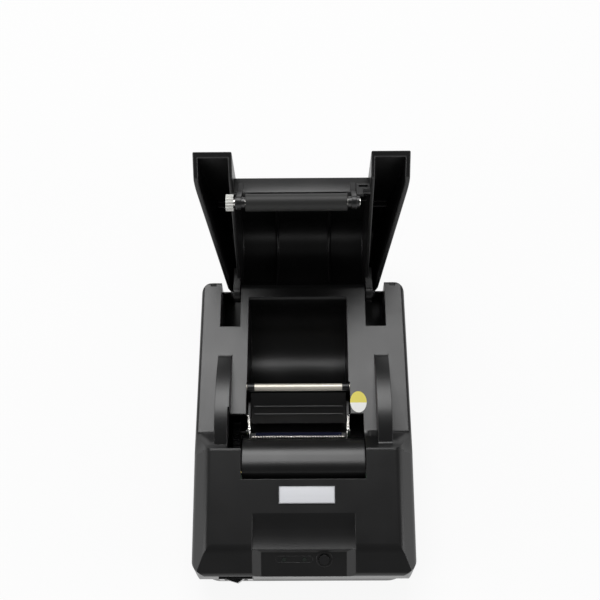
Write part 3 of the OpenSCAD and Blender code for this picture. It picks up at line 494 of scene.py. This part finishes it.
def hollow_scoop(work):
    """Makes the floor of the scoop one concave curve down to the edge over the panel."""
    for i in range(1, SCOOP_CUTS):
        y = SCOOP_FRONT_Y + SCOOP_RUN * i / SCOOP_CUTS
        floor = [f for f in work.faces if on_scoop_floor(f)]
        edges = {e for f in floor for e in f.edges}
        verts = {v for f in floor for v in f.verts}
        bmesh.ops.bisect_plane(work, geom=[*verts, *edges, *floor], dist=SCOOP_SNAP,
                               plane_co=(0, y, 0), plane_no=(0, 1, 0))
    rear_z = scoop_z(SCOOP_FRONT_Y + SCOOP_RUN)
    for v in work.verts:
        x, y, z = v.co
        from_front = y - SCOOP_FRONT_Y
        from_rear = SCOOP_FRONT_Y + SCOOP_RUN - y
        inside = abs(x) < SCOOP_HALF + SCOOP_SLACK and from_front > -SCOOP_SLACK and from_rear > SCOOP_SLACK
        on_facet = z > rear_z - from_rear * FACET_TAN - FACET_SLACK
        on_crease = y < CREASE_REAR_Y and z > CREASE_LOW_Z
        if inside and not on_facet and not on_crease and z > SCOOP_FRONT_Z - SCOOP_DEEP:
            v.co.z = scoop_z(y)


# ---------- moulded covers ----------
# Covers shown by a copy: the radius on their edges (0 for shading only), and what reshapes the copy.
COVERS = {
    "upper_housing": (0, None),
    "front_cover": (0, hollow_scoop),
    "lid_shell": (0.6 * MM, cut_lid_lip),
    "exit_cover": (0.4 * MM, fill_exit_shoulder),
    "platen_holder": (0.25 * MM, pull_holder_back),
    "latch_block": (0.25 * MM, move_latch_back),
}
# The low angles between the front cover's facets count as edges too.
SHARP_FROM = {"front_cover": math.radians(12)}


def round_cover(name, width, reshape):
    """A copy of a moulded cover with its sharp edges rounded where a radius is given, which stands for the
    plain node.
    """
    mesh = nodes[name].data.copy()
    work = bmesh.new()
    work.from_mesh(mesh)
    merge_flat(work)
    if reshape:
        reshape(work)
    work.to_mesh(mesh)
    work.free()
    piece = add_object(name + "_rounded", mesh)
    shade_smooth(mesh)
    if width:
        add_bevel(piece, width, clamp=False)
    else:
        mesh.set_sharp_from_angle(angle=SHARP_FROM.get(name, SHARP))
    weigh = piece.modifiers.new("normals", "WEIGHTED_NORMAL")
    weigh.weight = NORMAL_WEIGHT
    weigh.keep_sharp = True
    apply_modifiers(piece)
    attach(piece, BODY_OF[name])
    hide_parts(name)


# ---------- control panel ----------
# The panel rises 2 for every 3 to the rear.
PANEL_SLOPE = math.atan2(2, 3)
PANEL_OUT = Vector((0, -math.sin(PANEL_SLOPE), math.cos(PANEL_SLOPE)))
PANEL_TURN = Matrix.Rotation(PANEL_SLOPE, 4, "X")
# A ray towards the panel starts this far out of it.
PANEL_PROBE = 30 * MM
# The marks on the panel: how deep they sink into it, how far they stand out of it, and how wide they are.
MARK_SINK = 0.2 * MM
RING_R = 4.2 * MM
RING_RISE = 0.22 * MM
RING_WIDTH = 0.5 * MM
RING_STEPS = 64
RING_BEVEL = 0.08 * MM
OUTLINE_LONG, OUTLINE_WIDE = 20.5 * MM, 3.4 * MM
OUTLINE_RISE = 0.14 * MM
OUTLINE_WIDTH = 0.32 * MM
OUTLINE_STEPS = 48
# Turns the outline's points a little, so that each clearly belongs to one of its two ends.
OUTLINE_NUDGE = 0.001


def panel_place(point):
    """Frame on the control panel: Z out of it, Y up the slope."""
    return Matrix.Translation(point) @ PANEL_TURN


def panel_surface(x, level_with):
    """The point of the control panel's surface in line with a node's centre, at X."""
    mesh = nodes["front_cover"].data
    surface = BVHTree.FromPolygons([v.co for v in mesh.vertices], [tuple(p.vertices) for p in mesh.polygons])
    centre = node_centre(level_with)
    place, _, _, _ = surface.ray_cast(Vector((x, centre.y, centre.z)) + PANEL_OUT * PANEL_PROBE, -PANEL_OUT)
    return place


def add_button_ring(material, surface):
    """Raised ring round the feed button."""
    ring = bmesh.new()
    place = panel_place(Vector((node_centre("feed_button").x, surface.y, surface.z)))
    revolve(ring, tube_profile(RING_R, RING_R + RING_WIDTH, -MARK_SINK, RING_RISE), RING_STEPS, place)
    finish_piece(mesh_object("button_ring", ring), "base", material, bevel=RING_BEVEL)


def add_lamp_outline(material, surface):
    """Raised outline with round ends, round the two lamps."""
    place = panel_place(Vector((node_centre("light_pipes").x, surface.y, surface.z)))
    work = bmesh.new()
    inner = OUTLINE_WIDE / 2
    half = OUTLINE_LONG / 2 - inner
    loops = []
    for radius, height in tube_profile(inner, inner + OUTLINE_WIDTH, -MARK_SINK, OUTLINE_RISE):
        loop = []
        for i in range(OUTLINE_STEPS):
            angle = 2 * math.pi * i / OUTLINE_STEPS + OUTLINE_NUDGE
            end_x = half if math.cos(angle) > 0 else -half
            loop.append(work.verts.new(round_point(place, angle, radius, height, end_x)))
        loops.append(loop)
    for k in range(len(loops)):
        here, there = loops[k], loops[(k + 1) % len(loops)]
        for i in range(OUTLINE_STEPS):
            n = (i + 1) % OUTLINE_STEPS
            work.faces.new((here[i], here[n], there[n], there[i]))
    bmesh.ops.recalc_face_normals(work, faces=work.faces)
    finish_piece(mesh_object("lamp_outline", work), "base", material)


def add_panel_marks(material):
    surface = panel_surface(node_centre("feed_button").x + RING_R, "feed_button")
    add_button_ring(material, surface)
    add_lamp_outline(material, surface)


# ---------- small pieces ----------
SLEEVE_STEPS = 40
COLLAR_LONG = 4.4 * MM
COLLAR_INWARD = 2.5 * MM
COLLAR_SINK = 0.1 * MM
COLLAR_RISE = 0.35 * MM
COLLAR_BEVEL = 0.15 * MM
CLIP_INNER, CLIP_OUTER = 1.2 * MM, 1.9 * MM
CLIP_THICK = 0.5 * MM
CLIP_BEVEL = 0.08 * MM
# How far inside the ends of the shaft the clips sit.
CLIP_FROM_LEFT, CLIP_FROM_RIGHT = 0.6 * MM, 0.9 * MM
SLOT_BACK_X = (44.4 * MM, 52 * MM)
SLOT_BACK_Y = (89.4 * MM, 90.4 * MM)
SLOT_BACK_Z = (21 * MM, 32.6 * MM)
SLOT_BACK_BEVEL = 0.2 * MM
BADGE_RIM = 0.45 * MM
BADGE_SINK = 0.1 * MM
BADGE_THICK = 0.22 * MM
BADGE_BEVEL = 0.08 * MM
# Where the badge's faces meet at less than BADGE_FLAT they are one, and its top faces up more than BADGE_UP.
BADGE_FLAT = math.radians(1)
BADGE_UP = 0.5


def add_sleeve(name, body, material, centre, inner, outer, length, bevel):
    """A short tube along X."""
    work = bmesh.new()
    place = Matrix.Translation(centre) @ ALONG_X
    revolve(work, tube_profile(inner, outer, -length / 2, length / 2), SLEEVE_STEPS, place)
    finish_piece(mesh_object(name, work), body, material, bevel=bevel)


def add_guide_collars(material):
    """Dark collars on the ends of the guide bar."""
    low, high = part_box("guide_bar")
    radius = (high.z - low.z) / 2
    centre = node_centre("guide_bar")
    for x, side in ((low.x + COLLAR_INWARD, "left"), (high.x - COLLAR_INWARD, "right")):
        add_sleeve("guide_collar_" + side, "base", material, Vector((x, centre.y, centre.z)),
                   radius - COLLAR_SINK, radius + COLLAR_RISE, COLLAR_LONG, COLLAR_BEVEL)


def add_clips(material):
    """E-clip washers just inside the ends of the roller's shaft."""
    low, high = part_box("platen_shaft")
    centre = node_centre("platen_shaft")
    for x, side in ((low.x + CLIP_FROM_LEFT, "left"), (high.x - CLIP_FROM_RIGHT, "right")):
        add_sleeve("shaft_clip_" + side, "platen", material, Vector((x, centre.y, centre.z)),
                   CLIP_INNER, CLIP_OUTER, CLIP_THICK, CLIP_BEVEL)


def add_slot_backs(material):
    """Low wall across the rear of each hinge slot, under the swing of the lid's arm."""
    (y0, y1), (z0, z1) = SLOT_BACK_Y, SLOT_BACK_Z
    for sign, side in ((-1, "left"), (1, "right")):
        x0, x1 = sorted(sign * x for x in SLOT_BACK_X)
        work = bmesh.new()
        extrude_profile(work, [(y0, z0), (y1, z0), (y1, z1), (y0, z1)], x0, x1)
        finish_piece(mesh_object("slot_back_" + side, work), "base", material, bevel=SLOT_BACK_BEVEL)


def badge_top():
    """Corners, centre and normal of the badge plate's upper face."""
    source = bmesh.new()
    source.from_mesh(nodes["badge_plate"].data)
    merge_flat(source, BADGE_FLAT)
    top = max((f for f in source.faces if f.normal.z > BADGE_UP), key=lambda f: f.calc_area())
    found = [v.co.copy() for v in top.verts], top.calc_center_median(), top.normal.copy()
    source.free()
    return found


def add_badge_face(material):
    """White face inset in the badge's silver rim, left bare."""
    corners, centre, normal = badge_top()
    work = bmesh.new()
    base = []
    for corner in corners:
        out = corner - centre
        inset = Vector((math.copysign(BADGE_RIM, out.x), math.copysign(BADGE_RIM, out.y), 0))
        base.append(work.verts.new(corner - inset - normal * BADGE_SINK))
    face = work.faces.new(base)
    raised = bmesh.ops.extrude_face_region(work, geom=[face])["geom"]
    bmesh.ops.translate(work, verts=[g for g in raised if isinstance(g, bmesh.types.BMVert)],
                        vec=normal * BADGE_THICK)
    bmesh.ops.recalc_face_normals(work, faces=work.faces)
    finish_piece(mesh_object("badge_face", work), "base", material, bevel=BADGE_BEVEL)


# ---------- stage ----------
FLOOR_HALF = 3.0
FLOOR_COLOR = (0.8, 0.8, 0.8)
FLOOR_ROUGH = 0.9
# Share of plain white in the floor as it is seen. The rest is lit, so it keeps the object's shadow.
FLOOR_WHITE = 0.9
# The sky as it is seen is white at the horizon and fades to SKY_TOP between these two heights.
SKY_FADE = (0.15, 0.5)
SKY_TOP = 0.1
# Strength of the sky as light on the object.
WORLD_FILL = 0.25
# Where each light stands, the point it faces, its two sizes in metres and its power in watts.
LIGHTS = {
    "key_behind": ((-0.12, 0.65, 1.2), (0, 0.02, 0.05), (0.95, 0.7), 13),
    "left_side": ((-1.15, -0.35, 0.5), (0, 0, 0.05), (0.5, 0.6), 4),
    "right_side": ((1.15, -0.35, 0.5), (0, 0, 0.05), (0.5, 0.6), 4),
}


def add_seen(tree):
    """1 for what the camera, glossy and clear surfaces see, 0 for light that falls on the object."""
    paths = tree.nodes.new("ShaderNodeLightPath")
    first = tree.nodes.new("ShaderNodeMath")
    second = tree.nodes.new("ShaderNodeMath")
    for node in (first, second):
        node.operation = "MAXIMUM"
    tree.links.new(paths.outputs["Is Camera Ray"], first.inputs[0])
    tree.links.new(paths.outputs["Is Transmission Ray"], first.inputs[1])
    tree.links.new(first.outputs["Value"], second.inputs[0])
    tree.links.new(paths.outputs["Is Glossy Ray"], second.inputs[1])
    return second.outputs["Value"]


def make_floor():
    """White floor that keeps the object's shadow: part of what is seen is plain white."""
    mesh = bpy.data.meshes.new("floor")
    half = FLOOR_HALF
    corners = [(-half, -half, 0), (half, -half, 0), (half, half, 0), (-half, half, 0)]
    mesh.from_pydata(corners, [], [(0, 1, 2, 3)])
    floor = add_object("floor", mesh)
    material, tree, shader = new_material("floor", FLOOR_COLOR, FLOOR_ROUGH, Specular_IOR_Level=0.0)
    white = tree.nodes.new("ShaderNodeEmission")
    share = tree.nodes.new("ShaderNodeMixShader")
    share.inputs["Fac"].default_value = FLOOR_WHITE
    seen = tree.nodes.new("ShaderNodeMixShader")
    tree.links.new(shader.outputs["BSDF"], share.inputs[1])
    tree.links.new(white.outputs["Emission"], share.inputs[2])
    tree.links.new(add_seen(tree), seen.inputs["Fac"])
    tree.links.new(shader.outputs["BSDF"], seen.inputs[1])
    tree.links.new(share.outputs["Shader"], seen.inputs[2])
    tree.links.new(seen.outputs["Shader"], tree.nodes["Material Output"].inputs["Surface"])
    mesh.materials.append(material)


def make_world():
    world = bpy.data.worlds.new("world")
    world.use_nodes = True
    scene.world = world
    tree = world.node_tree
    place = tree.nodes.new("ShaderNodeTexCoord")
    split = tree.nodes.new("ShaderNodeSeparateXYZ")
    fade = tree.nodes.new("ShaderNodeMapRange")
    fade.interpolation_type = "SMOOTHSTEP"
    fade.inputs["From Min"].default_value, fade.inputs["From Max"].default_value = SKY_FADE
    fade.inputs["To Min"].default_value = 1.0
    fade.inputs["To Max"].default_value = SKY_TOP
    level = tree.nodes.new("ShaderNodeMix")
    level.inputs["A"].default_value = WORLD_FILL
    tree.links.new(place.outputs["Generated"], split.inputs["Vector"])
    tree.links.new(split.outputs["Z"], fade.inputs["Value"])
    tree.links.new(fade.outputs["Result"], level.inputs["B"])
    tree.links.new(add_seen(tree), level.inputs["Factor"])
    tree.links.new(level.outputs["Result"], tree.nodes["Background"].inputs["Strength"])
    tree.nodes["Background"].inputs["Color"].default_value = (1, 1, 1, 1)


def make_lights():
    for name, (position, target, size, power) in LIGHTS.items():
        data = bpy.data.lights.new(name, "AREA")
        data.shape = "RECTANGLE"
        data.size, data.size_y = size
        data.energy = power
        light = add_object(name, data)
        light.location = position
        light.rotation_euler = (Vector(target) - Vector(position)).to_track_quat("-Z", "Y").to_euler()


make_camera()
MATERIALS = make_materials()
dress_nodes(MATERIALS)
for cover, (width, reshape) in COVERS.items():
    round_cover(cover, width, reshape)
add_lid_lip(MATERIALS["black_case"])
add_panel_marks(MATERIALS["black_case"])
add_guide_collars(MATERIALS["dark_plastic"])
add_clips(MATERIALS["bright_steel"])
add_slot_backs(MATERIALS["black_case"])
add_badge_face(MATERIALS["badge_face"])
make_floor()
make_world()
make_lights()
scene.view_settings.view_transform = "Standard"
